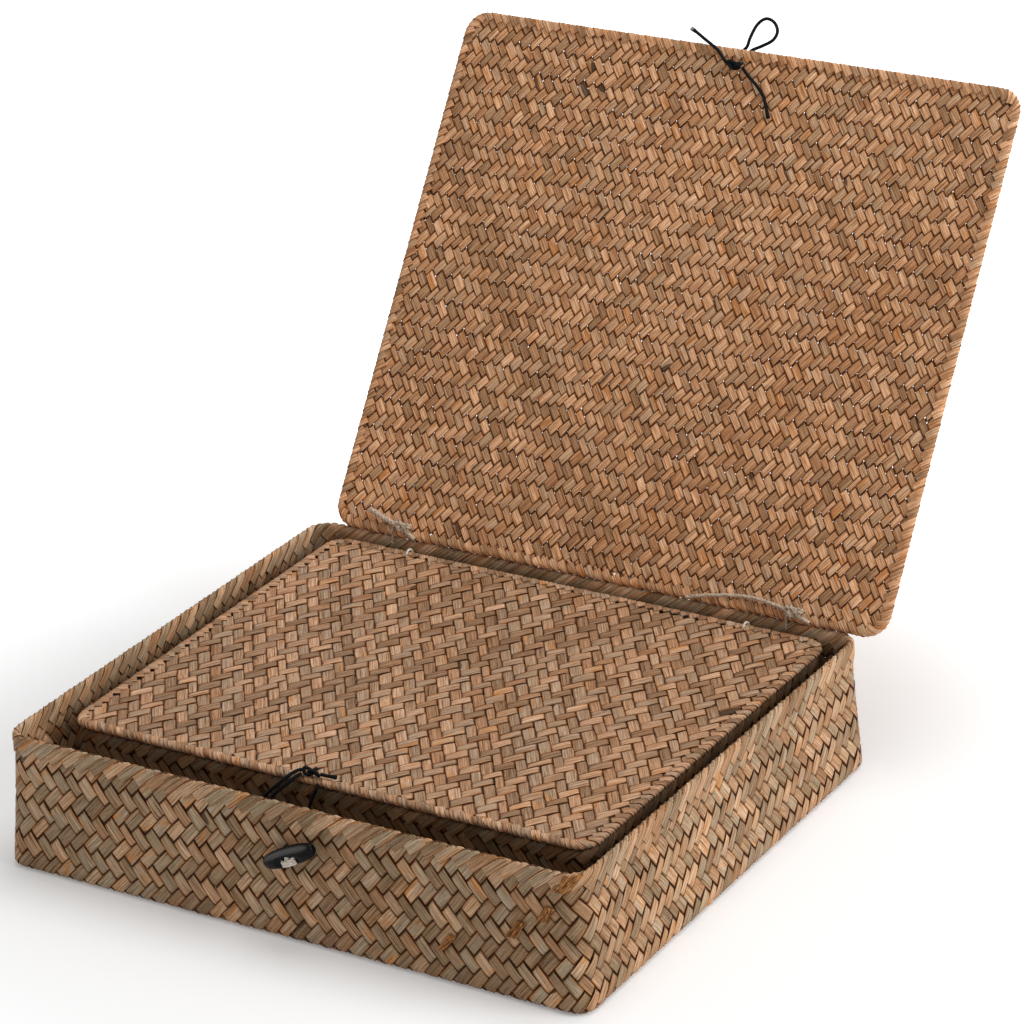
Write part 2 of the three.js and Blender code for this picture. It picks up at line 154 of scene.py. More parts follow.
INNER_LOOP = (
    (-11.4, -3.4, 4.3), (-13.4, -1.2, 4.2), (-15.4, 1.6, 3.2), (-17.8, 4.2, 1.2), (-20.6, 6.2, -1.6),
    (-24, 7.6, -5), (-27.4, 8.6, -9), (-30, 9.6, -13.6), (-31.8, 10.6, -18.6), (-31, 11.4, -23.4),
    (-28.2, 11.8, -25.6), (-25.8, 11.6, -23.4), (-25.6, 11, -18.4), (-26, 10.2, -14.6),
    (-25.2, 9.4, -11.2), (-22.4, 8.4, -7.4), (-19.4, 6.9, -4), (-16.4, 5, -1.4), (-14.2, 2.9, 1),
    (-12.6, 0.9, 2.4), (-11, -1, 3.3),
)
INNER_TAIL_FRONT = (
    (-0.4, 1.2, 0.8), (-0.6, 2.3, -0.8), (-1.4, 2.6, -3), (-3.2, 2.7, -6.7),
    (-4.4, 2.8, -10), (-5.2, 3, -13.5),
)
INNER_TAIL_RIGHT = (
    (-1.5, -3, 4.1), (0.6, -3.6, 3.6), (3, -4.2, 3.4), (6.4, -4.8, 3.4),
)


# Where things lie

def runs(half_x, half_y, corner):
    """The lengths of a rounded rectangle's eight runs, from its front and round to the right."""
    bend = math.pi / 2 * corner
    return [2 * (half_x - corner), bend, 2 * (half_y - corner), bend] * 2


def share_of(lengths, along):
    """A length along the outline, as a run's number plus the share of that run."""
    along %= sum(lengths)
    for run, length in enumerate(lengths):
        if along < length:
            return run + along / length
        along -= length
    return 0.0


def outline(half_x, half_y, corner, share):
    """A point of a rounded rectangle and the direction out of it."""
    run, along = int(share) % 8, share - int(share)
    side = run // 2
    half_long, half_out = (half_x, half_y) if side % 2 == 0 else (half_y, half_x)
    angle = -math.pi / 2
    x, y = (2 * along - 1) * (half_long - corner), -half_out
    if run % 2:
        angle += along * math.pi / 2
        x = half_long - corner + corner * math.cos(angle)
        y = -half_out + corner + corner * math.sin(angle)
    cos, sin = (1, 0, -1, 0)[side], (0, 1, 0, -1)[side]
    angle += side * math.pi / 2
    return x * cos - y * sin, x * sin + y * cos, math.cos(angle), math.sin(angle)


def wall_runs(box):
    return runs(box["half_x"] - RIM_HALF, box["half_y"] - RIM_HALF, box["rim_corner"] - RIM_HALF)


def wall_spot(box, lengths, along, up, lift):
    """A point on a wall. Below zero the wall bends under and joins the floor."""
    bend = BASE_EDGE - WALL / 2
    arc = bend * math.pi / 2
    tilt = min(max(-up / bend, 0.0), math.pi / 2)
    inset = bend * (1 - math.cos(tilt)) + max(-up - arc, 0.0)
    rise = BASE_EDGE + max(up, 0.0) - bend * math.sin(tilt)
    fade = max(0.0, 1 - rise / (box["height"] - RIM_SKIRT))
    outset = (box["flare"] + RIM_HALF - WALL / 2) * fade ** FLARE_POWER - inset + lift * math.cos(tilt)
    corner = box["rim_corner"] - RIM_HALF
    corner += (box["base_corner"] - corner) * fade
    x, y, out_x, out_y = outline(
        box["half_x"] - RIM_HALF, box["half_y"] - RIM_HALF, corner, share_of(lengths, along)
    )
    z = box["base"] + rise - lift * math.sin(tilt)
    return Vector((x + out_x * outset, box["middle"] + y + out_y * outset, z)) * MM


def rim_spot(box, lengths, along, wrap, lift):
    """A point on the rim's fold. The wrap is measured from its top, outwards and down."""
    turn = min(max(wrap / RIM_FOLD, -math.pi / 2), math.pi / 2)
    down = max(abs(wrap) - RIM_FOLD * math.pi / 2, 0.0)
    out = (RIM_FOLD + lift) * math.sin(turn)
    up = box["height"] - RIM_FOLD - RIM_SETBACK + (RIM_FOLD + lift) * math.cos(turn) - down
    x, y, out_x, out_y = outline(
        box["half_x"] - RIM_HALF, box["half_y"] - RIM_HALF, box["rim_corner"] - RIM_HALF,
        share_of(lengths, along),
    )
    return Vector((x + out_x * out, box["middle"] + y + out_y * out, box["base"] + up)) * MM


def lid_spot(lid, across, along, lift):
    """A point on a lid, by its distance from the hinge and its height over the middle plane."""
    cos, sin = math.cos(lid["turn"]), math.sin(lid["turn"])
    y, z = lid["hinge"]
    return Vector((lid["shift"] + across, y - along * cos - lift * sin, z - along * sin + lift * cos)) * MM


def lid_half_length(lid):
    return (lid["length"] + LID_HALF) / 2


def lid_runs(lid):
    return runs(lid["half_x"] - LID_HALF, lid_half_length(lid) - LID_HALF, lid["corner"] - LID_HALF)


def edge_spot(lid, lengths, along, wrap, lift):
    """A point on a lid's edge. The wrap is measured from the edge, round to the inner face."""
    turn = min(max(wrap / EDGE_FOLD, -math.pi / 2), math.pi / 2)
    inward = max(abs(wrap) - EDGE_FOLD * math.pi / 2, 0.0)
    x, y, out_x, out_y = outline(
        lid["half_x"] - LID_HALF, lid_half_length(lid) - LID_HALF, lid["corner"] - LID_HALF,
        share_of(lengths, along),
    )
    flap = lid["flap"] * max(-out_y, 0.0)
    out = (EDGE_FOLD + lift) * math.cos(turn) - inward + LID_HALF - EDGE_FOLD - EDGE_SETBACK + flap
    thinned = 1 - EDGE_THINNING * min(inward / EDGE_THIN_AFTER, 1)
    height = (EDGE_FOLD + lift) * math.sin(turn) * thinned
    centre = lid_half_length(lid) - LID_HALF
    return lid_spot(lid, x + out_x * out, centre + y + out_y * out, -height)


def floor_spot(box, x, y, lift):
    return Vector((x, box["middle"] + y, box["base"] + WALL / 2 + lift)) * MM


# Finishes
WARMTH = (1.0, 1.35, 1.75)
# A warm tint and a dark colour for real splits and scorch marks, and for shade painted between strands
DARK_MARK_AND_SHADE_TINT = (1.0, 0.72, 0.47, 1)
DARK_MARKS_AND_SHADE = (0.024, 0.01, 0.003, 1)
OLIVE_FROM, OLIVE_SOFTNESS = 1.66, 0.3
RUST_FROM, RUST_SOFTNESS = 1.34, 0.14
GRAIN_MIDDLE, GRAIN_CONTRAST = 0.8, 3.4
DARKEST_STRAND, LIGHTEST_STRAND, LEAST_SHADE = 0.74, 1.22, 0.05


def node(tree, kind, **settings):
    made = tree.nodes.new("ShaderNode" + kind)
    for name, value in settings.items():
        setattr(made, name, value)
    return made


def feed(tree, target, source):
    """A socket takes another node's output, or a plain value."""
    if isinstance(source, bpy.types.NodeSocket):
        tree.links.new(source, target)
    else:
        target.default_value = source


def math_node(tree, operation, *values):
    made = node(tree, "Math", operation=operation)
    for socket, value in zip(made.inputs, values):
        feed(tree, socket, value)
    return made.outputs[0]


def ease(tree, value, low, high, bottom=0.0, top=1.0):
    made = node(tree, "MapRange", interpolation_type="SMOOTHSTEP")
    for socket, item in zip(made.inputs, (value, low, high, bottom, top)):
        feed(tree, socket, item)
    return made.outputs[0]


def blended(tree, share, first, second, blend_type="MIX"):
    made = node(tree, "Mix", data_type="RGBA", blend_type=blend_type)
    feed(tree, made.inputs[0], share)
    feed(tree, made.inputs[6], first)
    feed(tree, made.inputs[7], second)
    return made.outputs[2]


def warm_shade(tree, value):
    """A factor that reddens what it darkens and pales what it lightens."""
    made = node(tree, "CombineColor")
    for socket, power in zip(made.inputs, WARMTH):
        feed(tree, socket, math_node(tree, "POWER", value, power))
    return made.outputs[0]


def around(tree, value, middle, softness):
    """A soft step as wide as the softness on both sides of the middle."""
    low = math_node(tree, "SUBTRACT", middle, softness)
    return ease(tree, value, low, math_node(tree, "ADD", middle, softness))


def streaks(tree, along, along_scale, across, across_scale, seed, detail):
    """Noise drawn out along a strand."""
    place = node(tree, "CombineXYZ")
    feed(tree, place.inputs[0], math_node(tree, "MULTIPLY", along, along_scale))
    feed(tree, place.inputs[1], math_node(tree, "MULTIPLY", across, across_scale))
    feed(tree, place.inputs[2], seed)
    made = node(tree, "TexNoise")
    feed(tree, made.inputs["Vector"], place.outputs[0])
    made.inputs["Scale"].default_value = 1.0
    made.inputs["Detail"].default_value = detail
    made.inputs["Roughness"].default_value = 0.6
    return made.outputs[0]


def seagrass_group():
    """Colour, roughness and height of a flat dried strand, by its own length, width and lift, with shade
    painted along its sides and where it passes under.
    """
    tree = bpy.data.node_groups.new("seagrass_strand", "ShaderNodeTree")
    for name in ("Tan", "Olive", "Rust", "Dark Marks And Shade"):
        tree.interface.new_socket(name, in_out="INPUT", socket_type="NodeSocketColor")
    for name in ("Olive Share", "Rust Share", "Fibre"):
        tree.interface.new_socket(name, in_out="INPUT", socket_type="NodeSocketFloat")
    tree.interface.new_socket("Color", in_out="OUTPUT", socket_type="NodeSocketColor")
    for name in ("Roughness", "Height"):
        tree.interface.new_socket(name, in_out="OUTPUT", socket_type="NodeSocketFloat")
    given = tree.nodes.new("NodeGroupInput").outputs
    result = tree.nodes.new("NodeGroupOutput").inputs

    parts = node(tree, "SeparateXYZ")
    feed(tree, parts.inputs[0], node(tree, "Attribute", attribute_name="strand").outputs["Vector"])
    along, across, lift = parts.outputs
    seed = node(tree, "Attribute", attribute_name="seed").outputs["Fac"]
    draw = node(tree, "TexWhiteNoise", noise_dimensions="1D")
    feed(tree, draw.inputs["W"], seed)
    chances = node(tree, "SeparateColor")
    feed(tree, chances.inputs[0], draw.outputs["Color"])
    first_chance, second_chance, third_chance = chances.outputs

    far = math_node(tree, "MULTIPLY", seed, 913.0)
    slow = streaks(tree, along, 24.0, across, 0.15, far, 1.0)
    patch = streaks(tree, along, 60.0, across, 0.7, math_node(tree, "ADD", far, 37.0), 2.0)
    fibre = streaks(tree, along, 45.0, across, 4.6, math_node(tree, "ADD", far, 71.0), 3.0)
    fine = streaks(tree, along, 220.0, across, 13.0, far, 2.0)

    tone = math_node(tree, "MULTIPLY_ADD", slow, 1.5, math_node(tree, "MULTIPLY", first_chance, 0.8))
    olive_edge = math_node(tree, "SUBTRACT", OLIVE_FROM, given["Olive Share"])
    olive = around(tree, tone, olive_edge, OLIVE_SOFTNESS)
    colour = blended(tree, olive, given["Tan"], given["Olive"])

    side = math_node(tree, "MULTIPLY", across, ease(tree, third_chance, 0.49, 0.51, -1.0, 1.0))
    rim = ease(tree, math_node(tree, "MULTIPLY_ADD", fibre, 0.5, side), 0.95, 1.2)
    wear = math_node(tree, "MULTIPLY_ADD", patch, 1.3, math_node(tree, "MULTIPLY", second_chance, 0.5))
    rust_edge = math_node(tree, "SUBTRACT", RUST_FROM, given["Rust Share"])
    rust = around(tree, wear, rust_edge, RUST_SOFTNESS)
    rust = math_node(tree, "MAXIMUM", rust, math_node(tree, "MULTIPLY", rim, 0.8))
    colour = blended(tree, rust, colour, given["Rust"])

    grain = math_node(tree, "MULTIPLY_ADD", fibre, 1.0, math_node(tree, "MULTIPLY", fine, 0.6))
    contrast = math_node(tree, "MULTIPLY", given["Fibre"], GRAIN_CONTRAST)
    light = math_node(tree, "MULTIPLY", math_node(tree, "SUBTRACT", grain, GRAIN_MIDDLE), contrast)
    strand_tone = ease(tree, second_chance, 0.0, 1.0, DARKEST_STRAND, LIGHTEST_STRAND)
    shade = math_node(tree, "MULTIPLY", math_node(tree, "ADD", light, 1.0), strand_tone)
    shade = math_node(tree, "MAXIMUM", shade, LEAST_SHADE)
    colour = blended(tree, 1.0, colour, warm_shade(tree, shade), "MULTIPLY")
    scorch = streaks(tree, along, 34.0, across, 0.25, math_node(tree, "ADD", far, 11.0), 0.0)
    colour = blended(tree, ease(tree, scorch, 0.79, 0.81, 0.0, 0.8), colour, given["Dark Marks And Shade"])
    rusty = math_node(tree, "MULTIPLY", rust, -0.06)
    split = ease(tree, math_node(tree, "MULTIPLY_ADD", fibre, -1.0, rusty), -0.37, -0.29)
    split = math_node(tree, "MULTIPLY", split, math_node(tree, "MINIMUM", given["Fibre"], 0.9))
    # Painted shade: darker along a strand's two sides, where it meets its neighbours, in patches
    edge = ease(tree, math_node(tree, "ABSOLUTE", across), 0.84, 1.0)
    edge = math_node(tree, "MULTIPLY", edge, ease(tree, patch, 0.3, 0.6, 0.25, 0.9))
    # Painted shade: darker where a strand bends down to pass under a crossing one
    under_shade = ease(tree, math_node(tree, "ABSOLUTE", lift), 0.1, 0.75, 0.97, 0.0)
    # Real splits and painted shade join in one mask, which is tinted warm and then mixed towards the dark
    # colour
    dark = math_node(tree, "MAXIMUM", math_node(tree, "MAXIMUM", edge, under_shade), split)
    colour = blended(tree, math_node(tree, "POWER", dark, 0.6), colour, DARK_MARK_AND_SHADE_TINT, "MULTIPLY")
    colour = blended(tree, dark, colour, given["Dark Marks And Shade"])

    feed(tree, result["Color"], colour)
    feed(tree, result["Roughness"], ease(tree, grain, 0.5, 1.2, 0.72, 0.48))
    feed(tree, result["Height"], grain)
    return tree


def bare_material(name):
    made = bpy.data.materials.new(name)
    made.use_nodes = True
    made.node_tree.nodes.clear()
    shader = node(made.node_tree, "BsdfPrincipled")
    end = node(made.node_tree, "OutputMaterial")
    made.node_tree.links.new(shader.outputs[0], end.inputs["Surface"])
    return made, made.node_tree, shader


def bumped(tree, shader, height, strength, distance):
    bump = node(tree, "Bump")
    bump.inputs["Strength"].default_value = strength
    bump.inputs["Distance"].default_value = distance
    feed(tree, bump.inputs["Height"], height)
    tree.links.new(bump.outputs[0], shader.inputs["Normal"])


def seagrass(name, tan, olive, rust, olive_share, rust_share, fibre):
    made, tree, shader = bare_material(name)
    strand = node(tree, "Group", node_tree=SEAGRASS)
    values = {
        "Tan": (*tan, 1), "Olive": (*olive, 1), "Rust": (*rust, 1), "Dark Marks And Shade": DARK_MARKS_AND_SHADE,
        "Olive Share": olive_share, "Rust Share": rust_share, "Fibre": fibre,
    }
    for key, value in values.items():
        strand.inputs[key].default_value = value
    tree.links.new(strand.outputs["Color"], shader.inputs["Base Color"])
    tree.links.new(strand.outputs["Roughness"], shader.inputs["Roughness"])
    shader.inputs["Specular IOR Level"].default_value = 0.18
    bumped(tree, shader, strand.outputs["Height"], 0.6, 0.0004)
    return made


def mottled(name, dark, light, scale, roughness, bump, metallic=0.0, shine=0.3, painted_sheen=None):
    """Two close tones in a fine noise, for the small pieces, and a paler third where sheen is painted on.
    """
    made, tree, shader = bare_material(name)
    place = node(tree, "TexCoord")
    spots = node(tree, "TexNoise")
    spots.inputs["Scale"].default_value = scale
    spots.inputs["Detail"].default_value = 4
    tree.links.new(place.outputs["Object"], spots.inputs["Vector"])
    colour = blended(tree, ease(tree, spots.outputs[0], 0.35, 0.65), (*dark, 1), (*light, 1))
    # Painted sheen: a paler colour mixed in by a vertex attribute, in place of a highlight
    if painted_sheen:
        share = node(tree, "Attribute", attribute_name="painted_sheen").outputs["Fac"]
        colour = blended(tree, share, colour, (*painted_sheen, 1))
    tree.links.new(colour, shader.inputs["Base Color"])
    feed(tree, shader.inputs["Roughness"], ease(tree, spots.outputs[0], 0.3, 0.7, *roughness))
    shader.inputs["Metallic"].default_value = metallic
    shader.inputs["Specular IOR Level"].default_value = shine
    bumped(tree, shader, spots.outputs[0], 0.5, bump)
    return made


def braided(name, dark, light, core, bands, twist):
    """Black elastic, with the small diamonds of its braided cover and a pale core at a frayed end."""
    made, tree, shader = bare_material(name)
    parts = node(tree, "SeparateXYZ")
    feed(tree, parts.inputs[0], node(tree, "Attribute", attribute_name="braid").outputs["Vector"])
    along, cos, sin = parts.outputs
    angle = math_node(tree, "MULTIPLY", math_node(tree, "ARCTAN2", sin, cos), bands)
    run = math_node(tree, "MULTIPLY", along, twist)
    left = math_node(tree, "SINE", math_node(tree, "ADD", angle, run))
    right = math_node(tree, "SINE", math_node(tree, "SUBTRACT", angle, run))
    cover = math_node(tree, "MULTIPLY_ADD", math_node(tree, "MULTIPLY", left, right), 0.5, 0.5)
    colour = blended(tree, cover, (*dark, 1), (*light, 1))
    cut = ease(tree, node(tree, "Attribute", attribute_name="cut_end").outputs["Fac"], 0.4, 0.9)
    tree.links.new(blended(tree, cut, colour, (*core, 1)), shader.inputs["Base Color"])
    feed(tree, shader.inputs["Roughness"], ease(tree, cover, 0.0, 1.0, 0.7, 0.5))
    shader.inputs["Specular IOR Level"].default_value = 0.08
    bumped(tree, shader, cover, 0.6, 0.00015)
    return made


SEAGRASS = seagrass_group()
FINISHES = {
    "outer_wall": seagrass(
        "outer_wall_seagrass", tan=(0.545, 0.315, 0.17), olive=(0.345, 0.24, 0.143),
        rust=(0.5, 0.2, 0.058), olive_share=0.62, rust_share=0.1, fibre=0.65),
    "outer_lid": seagrass(
        "outer_lid_seagrass", tan=(0.74, 0.385, 0.192), olive=(0.515, 0.298, 0.158),
        rust=(0.54, 0.2, 0.058), olive_share=0.45, rust_share=0.17, fibre=0.75),
    # Painted shade: the inner box's walls, floor and rim take seagrass darkened to about two fifths of the
    # outer wall's tone, for the shade between the two boxes
    "inner_wall": seagrass(
        "inner_wall_seagrass_shaded", tan=(0.22, 0.123, 0.058), olive=(0.145, 0.098, 0.056),
        rust=(0.22, 0.093, 0.03), olive_share=0.62, rust_share=0.1, fibre=0.6),
    "inner_lid": seagrass(
        "inner_lid_seagrass", tan=(0.51, 0.283, 0.156), olive=(0.336, 0.211, 0.125),
        rust=(0.46, 0.187, 0.057), olive_share=0.55, rust_share=0.1, fibre=0.65),
    "raw": seagrass(
        "raw_strand", tan=(0.4, 0.18, 0.06), olive=(0.34, 0.16, 0.06),
        rust=(0.42, 0.16, 0.04), olive_share=0.3, rust_share=0.5, fibre=1.6),
    "wire": mottled(
        "wire_dull_steel", dark=(0.16, 0.15, 0.14), light=(0.26, 0.25, 0.24), scale=900,
        roughness=(0.45, 0.6), bump=0.00005, metallic=0.9),
    "jute": mottled(
        "jute_twine", dark=(0.4, 0.29, 0.2), light=(0.74, 0.6, 0.47), scale=1400,
        roughness=(0.8, 0.95), bump=0.0003),
    "pale_jute": mottled(
        "pale_jute", dark=(0.62, 0.54, 0.44), light=(0.86, 0.79, 0.69), scale=1400,
        roughness=(0.8, 0.95), bump=0.0003),
    "cord": braided(
        "black_elastic", dark=(0.002, 0.0025, 0.003), light=(0.009, 0.0095, 0.011), core=(0.42, 0.43, 0.45),
        bands=6.0, twist=4200.0),
    # The toggle's paler third tone is painted sheen on its upper front
    "toggle": mottled(
        "black_toggle", dark=(0.002, 0.002, 0.0025), light=(0.006, 0.006, 0.007), scale=500,
        roughness=(0.25, 0.35), bump=0.00005, shine=0.08, painted_sheen=(0.1, 0.095, 0.09)),
}


# Strands

class Strands:
    """Flat strips in one mesh, each with its own length, width, lift and seed."""

    def __init__(self, seed):
        self.bm = bmesh.new()
        self.strip = self.bm.verts.layers.float_vector.new("strand")
        self.seed = self.bm.verts.layers.float.new("seed")
        self.section = self.bm.verts.layers.deform.verify()
        self.chance = random.Random(seed)

    def lay(self, steps, place):
        """One strip: place gives a point, a length in metres and a lift for each step and side."""
        seed = self.chance.random()
        grid = bmesh.ops.create_grid(self.bm, x_segments=steps, y_segments=2, size=0.5)
        for vert in grid["verts"]:
            step, side = round((vert.co.x + 0.5) * steps), round(vert.co.y * 2)
            vert.co, along, lift = place(step, side)
            vert[self.strip] = (along, side, lift)
            vert[self.seed] = seed
            vert[self.section][0] = 1.0 if side == 0 else 0.8


def add_piece(bm, name, finish, body, nodes, thick=0.0):
    mesh = bpy.data.meshes.new(name)
    if not thick:
        bmesh.ops.recalc_face_normals(bm, faces=bm.faces)
    bm.to_mesh(mesh)
    bm.free()
    mesh.materials.append(FINISHES[finish])
    mesh.shade_smooth()
    piece = bpy.data.objects.new(name, mesh)
    bpy.context.scene.collection.objects.link(piece)
    if thick:
        piece.vertex_groups.new(name="section")
        solid = piece.modifiers.new("strand_thickness", "SOLIDIFY")
        solid.thickness = thick * MM
        solid.offset = 0
        solid.vertex_group = "section"
        crisp = piece.modifiers.new("crisp_edges", "EDGE_SPLIT")
        crisp.split_angle = math.radians(40)
    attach(piece, body)
    if nodes:
        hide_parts(*nodes)
    return piece


def float_height(crossing):
    """Over two strands and under two, between plus and minus one."""
    wave = math.tanh(FLOAT_FLATNESS * math.cos((crossing - 0.5) * math.pi / 2))
    return wave / math.tanh(FLOAT_FLATNESS)


def float_stops(start, end, middle):
    """Places along a strand: its ends, and the bends of each float between them."""
    floats = range(math.floor((start - middle) / 4), math.ceil((end - middle) / 4) + 1)
    bends = [middle + 4 * number + step for number in floats for step in FLOAT_STEPS]
    return [start] + [bend for bend in bends if start + 0.1 < bend < end - 0.1] + [end]


def line_shift(lines, place):
    """How far to one side the lines between strands have moved, at a place counted in strands."""
    low = math.floor(place + 0.5)
    share = place + 0.5 - low
    return lines[low % len(lines)] * (1 - share) + lines[(low + 1) % len(lines)] * share


def waver(size, pace, stop, apart, layer):
    """How far one strand departs from even, at a place along it."""
    return size * noise.noise(Vector((stop * pace, apart, layer)))


def unequal_lines(weave, seed, count):
    """Lines between the strands of both ways, which make some strands wider than others."""
    chance = random.Random(seed)
    return {way: [chance.uniform(-1, 1) * weave["uneven"] for _ in range(count)] for way in (1, -1)}


def plait_strand(strands, weave, way, number, lines, start, end, spot):
    """One strand of a twill, that rises to the right where way is 1 and to the left where it is -1."""
    pitch, sin, cos = weave["pitch"], math.sin(weave["slant"]), math.cos(weave["slant"])
    own, crossed = lines[way], lines[-way]
    stops = float_stops(start, end, number + way * 0.5)
    skew = way * (sin * sin - cos * cos)
    half = (1 + own[(number + 1) % len(own)] - own[number % len(own)]) / 2
    half *= weave["close"] + strands.chance.uniform(-0.05, 0.04)
    rows = []
    for stop in stops:
        spread = 1 + waver(*WIDTH_WAVER, stop, number * 3.7, way * 5.0)
        shift = line_shift(own, number) + waver(*PLACE_WAVER, stop, number * 5.1, 9.0 + way)
        roll = waver(*ROLL_WAVER, stop, number * 2.3, 4.0 + way)
        rows.append((stop, stop + line_shift(crossed, stop), half * spread, shift, roll))

    def place(step, side):
        stop, cross, reach, shift, roll = rows[step]
        reach *= 1 - PINCH * (1 - abs(float_height(way * (stop - number))))
        off = shift + side * reach
        lift = float_height(way * (stop - number) + side * reach * skew)
        along = (number + cross) * pitch / (2 * sin) + off * pitch * sin
        up = way * ((cross - number) * pitch / (2 * cos) - off * pitch * cos)
        return spot(along, up, way * weave["rise"] * lift + roll * side), stop * pitch * MM, lift

    strands.lay(len(stops) - 1, place)


def plait_wall(box, weave, way, seed):
    lengths = wall_runs(box)
    count = 4 * round(sum(lengths) * math.sin(weave["slant"]) / weave["pitch"] / 4)
    weave = {**weave, "pitch": sum(lengths) * math.sin(weave["slant"]) / count}
    rows = 2 * math.cos(weave["slant"]) / weave["pitch"]
    low, high = -WALL_TUCK * rows, (box["height"] - RIM_HALF - BASE_EDGE - 1.5) * rows
    strands = Strands(seed + way)
    lines = unequal_lines(weave, seed, count)

    def spot(along, up, height):
        sway = noise.noise_vector(wall_spot(box, lengths, along, up, 0.0) * SWAY_SCALE) * SWAY
        return wall_spot(box, lengths, along + sway.x, up + sway.y, height)

    for number in range(count):
        ends = sorted((number + way * low, number + way * high))
        plait_strand(strands, weave, way, number, lines, *ends, spot)
    return strands


def plait_flat(weave, way, seed, half_x, half_y, corner, spot):
    """Strands across a flat panel with rounded corners."""
    pitch, sin, cos = weave["pitch"], math.sin(weave["slant"]), math.cos(weave["slant"])
    strands = Strands(seed + way)

    def inside(number, cross):
        past_x = abs((number + cross) * pitch / (2 * sin)) - half_x + corner
        past_y = abs((cross - number) * pitch / (2 * cos)) - half_y + corner
        if past_x <= 0 or past_y <= 0:
            return past_x <= corner and past_y <= corner
        return math.hypot(past_x, past_y) <= corner

    def swayed(x, y, height):
        sway = noise.noise_vector(Vector((x, y, half_x)) * MM * SWAY_SCALE) * SWAY
        return spot(x + sway.x, y + sway.y, height)

    reach = int((half_x * sin + half_y * cos) / pitch) + 2
    lines = unequal_lines(weave, seed, 2 * reach + 1)
    for number in range(-reach, reach + 1):
        start = max(number - 2 * cos * half_y / pitch, -2 * sin * half_x / pitch - number)
        end = min(number + 2 * cos * half_y / pitch, 2 * sin * half_x / pitch - number)
        while start < end and not inside(number, start):
            start += 0.2
        while start < end and not inside(number, end):
            end -= 0.2
        if end - start > 1:
            plait_strand(strands, weave, way, number, lines, start, end, swayed)
    return strands


def wrap_edge(seed, lengths, fold, reach, spot):
    """Strands folded over an edge, each lying on the next and every other one a little lower."""
    strands = Strands(seed)
    count = 2 * round(sum(lengths) / fold["spacing"] / 2)
    lean = fold["lean"]
    norm = math.hypot(1, lean)
    for number in range(count):
        start = sum(lengths) * (number + strands.chance.uniform(-0.06, 0.06)) / count
        half = fold["width"] / 2 * strands.chance.uniform(0.9, 1.1)
        first, last = (sign * (reach + strands.chance.uniform(-0.8, 0.8)) for sign in (-1, 1))
        lift = strands.chance.uniform(-0.05, 0.05) + (WRAP_STAGGER if number % 2 else -WRAP_STAGGER)

        def place(step, side):
            wrap = first + (last - first) * step / WRAP_STEPS
            along = start - lean * wrap + side * half / norm
            at = wrap + side * half * lean / norm
            return spot(along, at, lift + fold["tilt"] * side), (start + wrap) * MM, 1.0

        strands.lay(WRAP_STEPS, place)
    return strands


noise.seed_set(SWAY_SEED)
for name, (box, lid) in NEST.items():
    wall_weave, lid_weave = WEAVES[name + "_wall"], WEAVES[name + "_lid"]
    wall_lengths, lid_lengths = wall_runs(box), lid_runs(lid)
    middle = lid_half_length(lid) - LID_HALF
    half_x, half_y = lid["half_x"] - LID_TRIM, lid_half_length(lid) - LID_TRIM
    corner = lid["corner"] - LID_TRIM
    for way, word in ((1, "rising"), (-1, "falling")):
        wall = plait_wall(box, wall_weave, way, 11)
        add_piece(wall.bm, f"{name}_wall_{word}", name + "_wall", name + "_box",
                  [name + "_basket"], wall_weave["thick"])
        ground = plait_flat(wall_weave, way, 21, box["half_x"] - FLOOR_TRIM, box["half_y"] - FLOOR_TRIM,
                            FLOOR_CORNER, lambda x, y, lift: floor_spot(box, x, y, lift))
        add_piece(ground.bm, f"{name}_floor_{word}", name + "_wall", name + "_box",
                  [name + "_basket"], wall_weave["thick"])
        if name in RIBS_FRONT_TO_BACK:
            across_weave = {**lid_weave, "slant": math.pi / 2 - lid_weave["slant"]}
            panel = plait_flat(across_weave, way, 31, half_y, half_x, corner,
                               lambda x, y, lift: lid_spot(lid, y, middle + x, -lift))
        else:
            panel = plait_flat(lid_weave, way, 31, half_x, half_y, corner,
                               lambda x, y, lift: lid_spot(lid, x, middle + y, -lift))
        add_piece(panel.bm, f"{name}_lid_{word}", name + "_lid", name + "_lid",
                  [name + "_lid_panel"], lid_weave["thick"])
    rim = wrap_edge(41, wall_lengths, RIM_WRAP, RIM_REACH[name],
                    lambda along, wrap, lift: rim_spot(box, wall_lengths, along, wrap, lift))
    add_piece(rim.bm, name + "_rim", name + "_wall", name + "_box",
              [name + "_rim_wrap"], RIM_WRAP["thick"])
    edge = wrap_edge(51, lid_lengths, EDGE_WRAP, EDGE_REACH,
                     lambda along, wrap, lift: edge_spot(lid, lid_lengths, along, wrap, lift))
    add_piece(edge.bm, name + "_lid_edge", name + "_lid", name + "_lid",
              [name + "_lid_border"], EDGE_WRAP["thick"])


